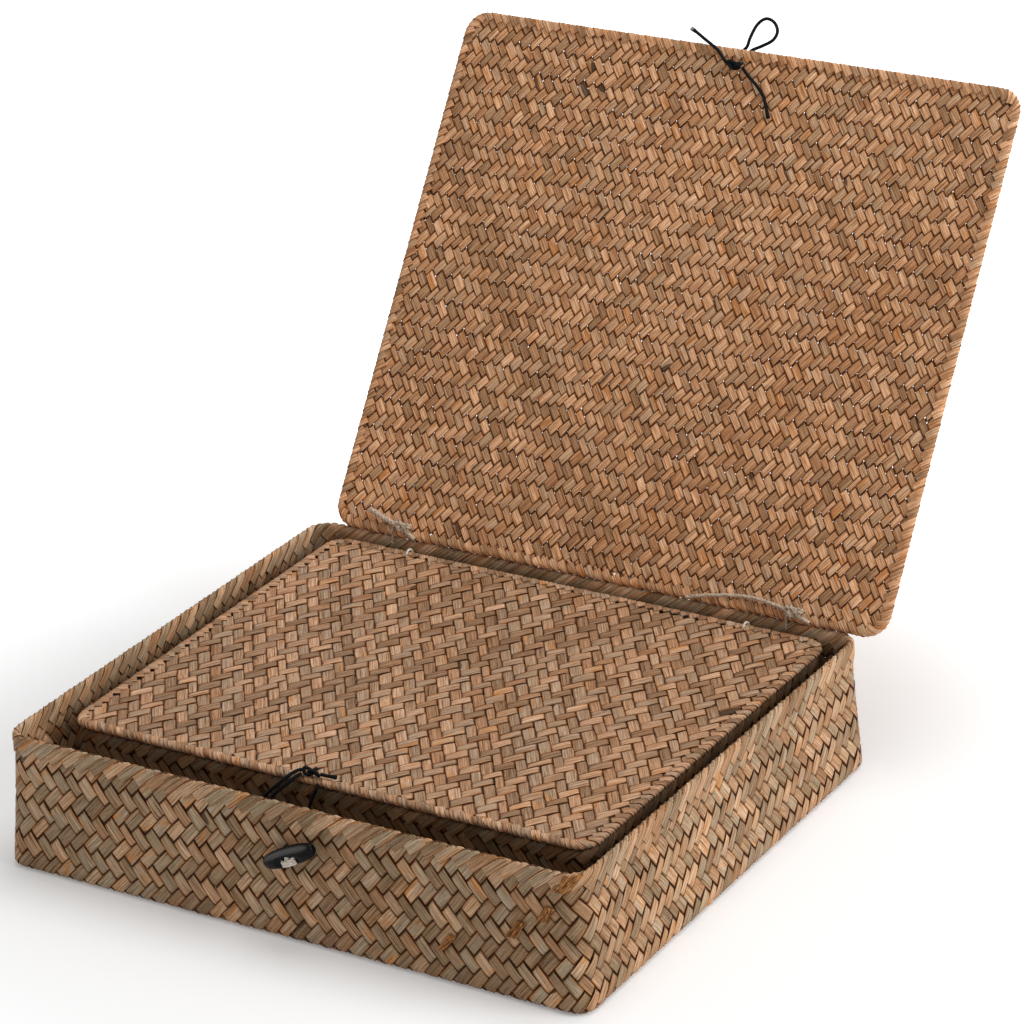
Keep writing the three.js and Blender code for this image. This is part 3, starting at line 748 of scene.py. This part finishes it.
# Raw strand ends by the front right corner: place past the front wall's end, height, width and length
RAW_ENDS = ((4.0, 67.5, 6.0, 9.5), (-7.0, 50.0, 4.0, 8.0), (-24.0, 38.0, 4.0, 9.0), (-62.0, 22.0, 3.0, 9.0))
RAW_PLIES, RAW_STEPS, RAW_LEAN = 6, 8, 0.7
RAW_HALF_WIDTH, RAW_THICK, RAW_LIFT, RAW_CRUMPLE = 0.8, 0.4, 1.9, 0.35
raw = Strands(61)
outer_box = NEST["outer"][0]
front = wall_runs(outer_box)
for past, height, width, length in RAW_ENDS:
    for ply in range(RAW_PLIES):
        aside = past + (ply / (RAW_PLIES - 1) - 0.5) * width
        phase = raw.chance.uniform(0, 6)

        def crumpled(step, side):
            wave = phase + step * 0.8
            reach = (step / RAW_STEPS - 0.5) * length
            along = (
                front[0] + aside + RAW_LEAN * reach + RAW_CRUMPLE * math.sin(wave)
                + side * RAW_HALF_WIDTH
            )
            lift = RAW_LIFT + RAW_CRUMPLE * math.sin(wave * 1.7) + 0.3 * side
            point = wall_spot(outer_box, front, along, height - BASE_EDGE + reach, lift)
            return point, (aside + reach) * MM, 1.0

        raw.lay(RAW_STEPS, crumpled)
add_piece(raw.bm, "outer_raw_ends", "raw", "outer_box", [], RAW_THICK)


# Cords, twine and toggles
FRAYED = 0.4
FLARED_RINGS = 3
CORD_SIDES, KNOT_SIDES, PLY_SIDES = 12, 10, 6
PLY_OFFSET, PLY_RADIUS = 0.5, 0.6
HAIR_ROOT, HAIR_TIP = 0.12, 0.04
ELASTIC_KNOT = (4.4, 2.0, 1.4)


def smooth_path(points, per_span):
    """A curve through given points."""
    padded = [2 * points[0] - points[1], *points, 2 * points[-1] - points[-2]]
    path = []
    for before, start, end, after in zip(padded, padded[1:], padded[2:], padded[3:]):
        for step in range(per_span):
            t = step / per_span
            bend = (2 * start + (end - before) * t + (2 * before - 5 * start + 4 * end - after) * t * t
                    + (3 * start - before - 3 * end + after) * t ** 3)
            path.append(bend / 2)
    return path + [points[-1]]


def path_frames(path, closed=False):
    """Each point with two directions across the path, carried along without twisting."""
    frames, across = [], None
    for index, point in enumerate(path):
        after = path[(index + 1) % len(path)] if closed else path[min(index + 1, len(path) - 1)]
        before = path[index - 1] if closed else path[max(index - 1, 0)]
        ahead = (after - before).normalized()
        across = ahead.orthogonal() if across is None else across - ahead * across.dot(ahead)
        across.normalize()
        frames.append((point, ahead, across.copy(), ahead.cross(across)))
    return frames


def tube(bm, path, radius, sides, closed=False, flare=0.0):
    """A round skin along a path, with capped ends where the path is open."""
    braid = bm.verts.layers.float_vector.get("braid") or bm.verts.layers.float_vector.new("braid")
    cut_end = bm.verts.layers.float.get("cut_end") or bm.verts.layers.float.new("cut_end")
    rings, along = [], 0.0
    frames = path_frames(path, closed)
    for index, (point, ahead, across, over) in enumerate(frames):
        along += (point - path[max(index - 1, 0)]).length
        past = max(0.0, FLARED_RINGS - (len(path) - 1 - index)) / FLARED_RINGS
        turn = Matrix((across, over, ahead)).transposed().to_4x4()
        turn.translation = point
        open_end = not closed and index in (0, len(path) - 1)
        ring = bmesh.ops.create_circle(
            bm, cap_ends=open_end, segments=sides, radius=radius * (1 + flare * past), matrix=turn)["verts"]
        for vert in ring:
            off = (vert.co - point).normalized()
            vert[braid] = (along, off.dot(across), off.dot(over))
            vert[cut_end] = past if flare > FRAYED else 0.0
        edges = {edge for vert in ring for edge in vert.link_edges}
        rings.append({edge for edge in edges if all(vert in ring for vert in edge.verts)})
    for low, high in zip(rings, rings[1:] + rings[:1] if closed else rings[1:]):
        bmesh.ops.bridge_loops(bm, edges=list(low | high))


def plies(bm, path, radius, count, turns, closed=False):
    """Twine: a few plies laid round each other."""
    for ply in range(count):
        wound = []
        for index, (point, ahead, across, over) in enumerate(path_frames(path, closed)):
            angle = 2 * math.pi * (ply / count + turns * index / len(path))
            wound.append(point + (across * math.cos(angle) + over * math.sin(angle)) * radius * PLY_OFFSET)
        tube(bm, wound, radius * PLY_RADIUS, PLY_SIDES, closed)


def fuzz(bm, path, radius, count, length, chance):
    """Loose fibres that stand off twine."""
    for _ in range(count):
        aim = Vector((chance.gauss(0, 1), chance.gauss(0, 1), chance.gauss(0, 1))).normalized()
        reach = length * chance.uniform(0.5, 1.3)
        foot = chance.choice(path) + aim * (radius * 0.5 + reach / 2)
        turn = aim.to_track_quat("Z", "Y").to_matrix().to_4x4()
        turn.translation = foot
        bmesh.ops.create_cone(
            bm, cap_ends=True, segments=3, radius1=HAIR_ROOT * MM, radius2=HAIR_TIP * MM, depth=reach,
            matrix=turn)


def knot_path(centre, axes, steps):
    """An overhand knot drawn tight, with its half sizes along three directions."""
    path = []
    for step in range(steps):
        t = 2 * math.pi * step / steps
        shape = ((math.sin(t) + 2 * math.sin(2 * t)) / 2.8, (math.cos(t) - 2 * math.cos(2 * t)) / 3,
                 -math.sin(3 * t))
        path.append(centre + sum((axis * share for axis, share in zip(axes, shape)), Vector()))
    return path


def lid_route(lid, route):
    return [lid_spot(lid, across, lid["length"] + past, above) for across, past, above in route]


def lid_axes(lid, half_x, half_y, half_z):
    """Half sizes of a knot, across the lid, along it and out of it."""
    origin = lid_spot(lid, 0, 0, 0)
    return [lid_spot(lid, *size) - origin for size in ((half_x, 0, 0), (0, half_y, 0), (0, 0, half_z))]


def path_length(path):
    return sum((end - start).length for start, end in zip(path, path[1:]))


def elastic(box_name, key, route, far_end=None, flare=0.0):
    """One stretch of elastic cord on a lid."""
    path = smooth_path(lid_route(NEST[box_name][1], route), 4)
    bm = bmesh.new()
    tube(bm, path, CORD_RADIUS * MM, CORD_SIDES, flare=flare)
    made = add_piece(bm, f"{box_name}_{key}_elastic", "cord", box_name + "_lid",
                     [f"{box_name}_{key}"])
    if far_end:
        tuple(path[0])
        path_length(path)
    return made


def elastic_knot(box_name, spot):
    lid = NEST[box_name][1]
    bm = bmesh.new()
    path = knot_path(lid_route(lid, [spot])[0], lid_axes(lid, *ELASTIC_KNOT), 36)
    tube(bm, path, CORD_RADIUS * MM, KNOT_SIDES, closed=True)
    add_piece(bm, box_name + "_knot_elastic", "cord", box_name + "_lid", [box_name + "_loop_knot"])


elastic_knot("outer", OUTER_KNOT)
elastic("outer", "loop_cord", OUTER_LOOP, "object")
left_tail = elastic("outer", "loop_tail_left", OUTER_TAIL_LEFT, flare=0.5)
elastic("outer", "loop_tail_right", OUTER_TAIL_RIGHT, "bare", 0.25)
elastic_knot("inner", INNER_KNOT)
elastic("inner", "loop_cord", INNER_LOOP, "object")
elastic("inner", "loop_tail_front", INNER_TAIL_FRONT, flare=-0.4)
elastic("inner", "loop_tail_right", INNER_TAIL_RIGHT, flare=0.3)
outer_lid = NEST["outer"][1]
tail_root = lid_route(outer_lid, OUTER_TAIL_LEFT[:1])[0]
along_lid, out_of_lid = (axis.normalized() for axis in lid_axes(outer_lid, 1, 1, 1)[1:])
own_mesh(left_tail)
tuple(along_lid)


def hinge_loop(box, lid, x):
    """A tie circles the hinge axis and turns under the rim's wire."""
    turn = RIM_WIRE_RADIUS + SEAT_GAP + TWINE_RADIUS
    back = RIM_HALF + LID_OVERHANG - LID_HALF
    y, z = lid["hinge"]
    wire_down = z - box["base"] - box["height"] + RIM_HALF
    arcs = [(0, 0, back + turn, -45, 217, 22), (-back, wire_down, turn, 180, 345, 12)]
    path = []
    for out, down, radius, first, last, steps in arcs:
        for step in range(steps + 1):
            angle = math.radians(first + (last - first) * step / steps)
            over, up = radius * math.cos(angle), radius * math.sin(angle)
            path.append(Vector((x, y + out + over, z - down + up)) * MM)
    return path


TIES = {"outer": {"left": -115.0, "right": 122.0}, "inner": {"left": -101.5, "right": 101.5}}
for name, ties in TIES.items():
    finish = "jute" if name == "outer" else "pale_jute"
    for side, x in ties.items():
        bm = bmesh.new()
        path = hinge_loop(*NEST[name], x)
        plies(bm, path, TWINE_RADIUS * MM, 2, 7, closed=True)
        fuzz(bm, path, TWINE_RADIUS * MM, 40, 1.4 * MM, random.Random(x))
        add_piece(bm, f"{name}_tie_{side}", finish, name + "_box", [f"{name}_hinge_tie_{side}"])


# Twine lashed on the open lid, by x, distance from the hinge and height over the inner face
TIE_KNOT_RADIUS, TIE_KNOT_HAIRS = 1.2, 190


def press_flat(made):
    """The shut lid presses twine against the rim; here the twine only gets its own copy of its mesh."""
    face = lid_spot(outer_lid, 0, 0, -LID_HALF)
    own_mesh(made)
    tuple(out_of_lid)


def tie_twine(key, points, radius, turns, hairs):
    path = smooth_path([lid_spot(outer_lid, x - outer_lid["shift"], along, -LID_HALF - above)
                        for x, along, above in points], 6)
    bm = bmesh.new()
    plies(bm, path, radius * MM, 3, turns)
    fuzz(bm, path, radius * MM, hairs, 1.8 * MM, random.Random(hairs))
    press_flat(add_piece(bm, "outer_" + key, "jute", "outer_lid", []))


def tie_knot(key, x, along, half_x, half_y, half_z):
    centre = lid_spot(outer_lid, x - outer_lid["shift"], along, -LID_HALF - half_z)
    bm = bmesh.new()
    path = knot_path(centre, lid_axes(outer_lid, half_x, half_y, half_z - 0.5), 40)
    plies(bm, path, TIE_KNOT_RADIUS * MM, 2, 9, closed=True)
    fuzz(bm, path, TIE_KNOT_RADIUS * MM, TIE_KNOT_HAIRS, 2.2 * MM, random.Random(x))
    press_flat(add_piece(bm, "outer_" + key, "jute", "outer_lid", []))


tie_knot("tie_knot_left", -109.0, 2.5, 4.8, 2.2, 1.6)
tie_twine("tie_tail_left", [
    (-111, 2.4, 1.5), (-118, 4, 1.2), (-124, 5.8, 1.1), (-131.4, 8.4, 1.2),
], 1.5, 3, 90)
tie_twine("tie_twine_right", [
    (65, -2.4, 1.6), (72, -0.4, 1.4), (82, 2, 1.2), (92, 3.7, 1.1), (101, 4.3, 1.1), (110, 3.8, 1.1),
    (118, 2.6, 1.2), (127, 0.6, 1.4),
], 1.15, 17, 190)
tie_twine("tie_end_right", [(128, 0.4, 1.6), (131.5, -0.8, 1.5), (135.5, -2.2, 1.3)], 1.2, 3, 60)
tie_twine("tie_end_left", [(-107, 1.0, 1.7), (-104, -0.8, 1.5), (-100.8, -2.6, 1.3)], 1.2, 3, 60)
tie_knot("tie_knot_right", 126.0, 1.8, 5.0, 2.4, 1.6)


# Toggles on jute shanks, drawn along X with the shank along Y
TOGGLE_HALF = Vector((16.0, 4.2, 5.0))
SHANK_RADIUS = 1.6
LOOP_ROOM = 2.6
TOGGLE_BLUNTNESS = 0.22
DISH_LOW, DISH_HALF_X, DISH_HALF_Z, DISH_DEPTH = -1.9, 6.0, 2.6, 2.6
# Painted sheen on the toggle: paler colour where its normal points up and towards the front
SHEEN_UP, SHEEN_OUT, SHEEN_FROM, SHEEN_SPREAD = 0.6, 0.8, 0.9, 0.1
WRAP_SLOPES = ((0.5, 0.3), (-0.45, 0.0), (0.15, -0.9), (-0.2, -1.5))
TOGGLE_TILTS = {"outer": math.radians(27), "inner": math.radians(-8)}


def toggle_place(name):
    low, high = (Vector(corner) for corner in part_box(name + "_toggle"))
    place = Matrix.Rotation(-TOGGLE_TILTS[name], 4, "Y") @ Matrix.Scale(MM, 4)
    place.translation = (low + high) / 2
    return place


def toggle(name):
    """An olive-shaped bead with a dish round its shank hole."""
    bm = bmesh.new()
    lying = Matrix.Rotation(math.pi / 2, 4, "Y")
    bmesh.ops.create_uvsphere(bm, u_segments=40, v_segments=28, radius=1, matrix=lying)
    for vert in bm.verts:
        full = max(1 - vert.co.x ** 2, 1e-4) ** -TOGGLE_BLUNTNESS
        x, y, z = vert.co
        vert.co = (x * TOGGLE_HALF.x, y * full * TOGGLE_HALF.y, z * full * TOGGLE_HALF.z)
        if vert.co.y < 0:
            from_hole = math.hypot(vert.co.x / DISH_HALF_X, (vert.co.z - DISH_LOW) / DISH_HALF_Z)
            vert.co.y += DISH_DEPTH * math.exp(-from_hole ** 4)
    bm.normal_update()
    # Paint sheen on the bead's upper half, where it faces up and out
    painted_sheen = bm.verts.layers.float.new("painted_sheen")
    for vert in bm.verts:
        facing = SHEEN_UP * vert.normal.z - SHEEN_OUT * vert.normal.y
        vert[painted_sheen] = min(max((facing - SHEEN_FROM) / SHEEN_SPREAD, 0.0), 1.0) if vert.co.z > 0 else 0.0
    bmesh.ops.transform(bm, matrix=toggle_place(name), verts=bm.verts)
    made = add_piece(bm, name + "_bead", "toggle", name + "_toggle", [name + "_toggle"])
    smooth = made.modifiers.new("rounding", "SUBSURF")
    smooth.levels = smooth.render_levels = 1


def shank(name):
    """Jute that strings the toggle: crossed over in its dish, through the wall, and knotted inside."""
    bm = bmesh.new()
    place = toggle_place(name)
    face, back = -TOGGLE_HALF.y + 1.2, TOGGLE_HALF.y + LOOP_ROOM + WALL + 2 * SEAT_GAP
    straight = [place @ Vector((0, face + (back - face) * step / 12, 0)) for step in range(13)]
    plies(bm, straight, SHANK_RADIUS * MM, 3, 2.5)
    stop = place @ Vector((0, back + 1, 0))
    knot = knot_path(stop, [Vector(axis) * MM for axis in ((2.6, 0, 0), (0, 0, 2.4), (0, 0.9, 0))], 32)
    plies(bm, knot, 0.8 * MM, 2, 7, closed=True)
    for slope, rise in WRAP_SLOPES:
        over = []
        for side in (-1, -0.6, -0.2, 0.2, 0.6, 1):
            depth = 2.0 - TOGGLE_HALF.y - 1.2 * (1 - side * side)
            height = DISH_LOW + rise + 1.4 * slope * side
            over.append(place @ Vector((4.2 * side, depth, height)))
        plies(bm, smooth_path(over, 3), 0.85 * MM, 2, 2)
    centre = [place @ Vector((0, 1.0 - TOGGLE_HALF.y, DISH_LOW))]
    fuzz(bm, centre, 1.5 * MM, 9, 2.2 * MM, random.Random(7))
    add_piece(bm, name + "_shank", "pale_jute", name + "_box", [name + "_toggle_thread"])


for name in NEST:
    toggle(name)
    shank(name)

# Wires keep their CAD shape, sealed inside the folded edges
for name in NEST:
    for wire in (name + "_rim_wire", name + "_lid_wire"):
        slots = bpy.data.objects[wire].data.materials
        slots.clear()
        slots.append(FINISHES["wire"])


# Floor, light and camera: the floor's glow grows from one value to the other over the fade's metres
WORLD_LIGHT = 0.4
LIGHT_AIM = (0, 0, 0.05)
FLOOR_FADE, FLOOR_GLOW = (0.24, 0.55), (0.185, 0.8)


def seen_directly(tree):
    """One for what the camera, a reflection or glass sees, and nothing for what lights the object."""
    path = node(tree, "LightPath")
    rays = [path.outputs[ray] for ray in ("Is Camera Ray", "Is Glossy Ray", "Is Transmission Ray")]
    return math_node(tree, "MAXIMUM", math_node(tree, "MAXIMUM", rays[0], rays[1]), rays[2])


floor_mesh = bpy.data.meshes.new("studio_floor")
bm = bmesh.new()
bmesh.ops.create_grid(bm, x_segments=1, y_segments=1, size=8)
bm.to_mesh(floor_mesh)
bm.free()
floor = bpy.data.objects.new("studio_floor", floor_mesh)
bpy.context.scene.collection.objects.link(floor)
white, tree, shader = bare_material("studio_white")
shader.inputs["Base Color"].default_value = (0.9, 0.9, 0.9, 1)
shader.inputs["Roughness"].default_value = 1
shader.inputs["Specular IOR Level"].default_value = 0
shader.inputs["Emission Color"].default_value = (1, 1, 1, 1)
place = node(tree, "TexCoord")
away = node(tree, "VectorMath", operation="LENGTH")
tree.links.new(place.outputs["Object"], away.inputs[0])
white_out = ease(tree, away.outputs["Value"], *FLOOR_FADE, *FLOOR_GLOW)
feed(tree, shader.inputs["Emission Strength"], math_node(tree, "MULTIPLY", seen_directly(tree), white_out))
floor_mesh.materials.append(white)

world = bpy.data.worlds.new("studio")
bpy.context.scene.world = world
world.use_nodes = True
tree = world.node_tree
tree.nodes["Background"].inputs["Color"].default_value = (1, 1, 1, 1)
feed(tree, tree.nodes["Background"].inputs["Strength"],
     math_node(tree, "MULTIPLY_ADD", seen_directly(tree), 1 - WORLD_LIGHT, WORLD_LIGHT))


def lamp(name, place, size, power):
    light = bpy.data.lights.new(name, "AREA")
    light.shape = "DISK"
    light.size = size
    light.energy = power
    made = bpy.data.objects.new(name, light)
    made.location = place
    made.rotation_euler = (Vector(LIGHT_AIM) - Vector(place)).to_track_quat("-Z", "Y").to_euler()
    bpy.context.scene.collection.objects.link(made)


lamp("right_softbox", (3.2, 0.5, 1.7), 2.4, 70)
lamp("top_softbox", (0.3, 0.7, 3.15), 2.2, 34)

VIEW_AZIMUTH, VIEW_ELEVATION, VIEW_ROLL = (math.radians(a) for a in (31.41, 23.98, -2.14))
VIEW_DISTANCE, VIEW_LENS, VIEW_SENSOR = 2.43235, 156.27, 36
VIEW_TARGET = Vector((-0.08543, 0.21606, 0.063))
back = Vector((
    math.sin(VIEW_AZIMUTH) * math.cos(VIEW_ELEVATION),
    -math.cos(VIEW_AZIMUTH) * math.cos(VIEW_ELEVATION),
    math.sin(VIEW_ELEVATION),
))
right = Vector((math.cos(VIEW_AZIMUTH), math.sin(VIEW_AZIMUTH), 0))
up = back.cross(right)
turned = Matrix.Rotation(VIEW_ROLL, 3, back)
view = Matrix((turned @ right, turned @ up, back)).transposed().to_4x4()
view.translation = VIEW_TARGET + back * VIEW_DISTANCE
camera = bpy.data.objects.new("camera", bpy.data.cameras.new("camera"))
camera.data.lens = VIEW_LENS
camera.data.sensor_width = VIEW_SENSOR
camera.matrix_world = view
bpy.context.scene.collection.objects.link(camera)
bpy.context.scene.camera = camera
bpy.context.scene.view_settings.view_transform = "Standard"
